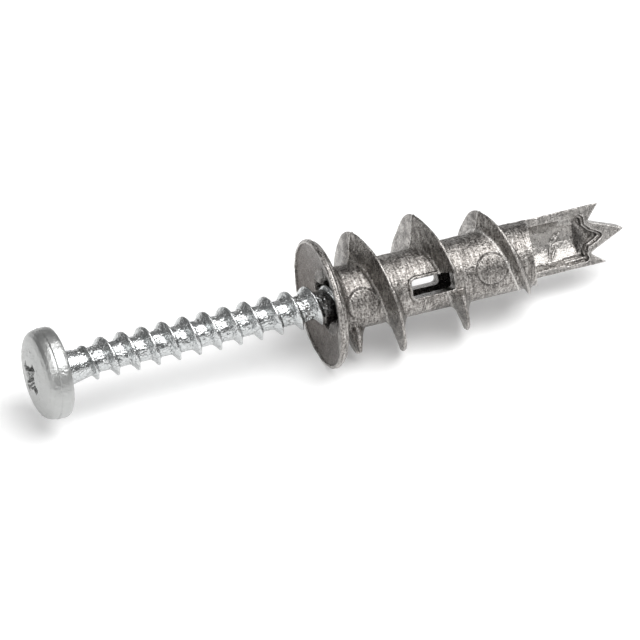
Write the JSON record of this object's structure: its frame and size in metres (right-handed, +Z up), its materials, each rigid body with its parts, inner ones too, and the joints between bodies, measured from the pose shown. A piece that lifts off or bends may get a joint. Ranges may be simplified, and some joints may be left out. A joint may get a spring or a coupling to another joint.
{
  "type": "self-drilling drywall anchor",
  "caption": "Die-cast self-drilling wall anchor with a coarse auger flight, dished flange and toothed half-shell tip, with a pan-head screw started in its mouth.",
  "frame": {"origin": "centre of the flange's front rim plane, on the common axis of the anchor and the screw", "axes": "+X along the common axis toward the anchor's toothed tip, with the screw's head at -X; +Z is up as the object lies on a table"},
  "size_m": [0.0686, 0.0142, 0.0141],
  "materials": {
    "cast_zinc": "as-cast zinc alloy, grainy, dull warm grey",
    "plated_steel": "bright zinc plate on cold-formed steel"
  },
  "bodies": {
    "anchor": {"anchor_body": "cast_zinc"},
    "screw": {"screw": "plated_steel"}
  },
  "joints": [
    {"name": "screw_drive", "type": "slide", "parent": "anchor", "child": "screw", "axis": [1, 0, 0], "range_m": [-0.006, 0.027]}
  ]
}
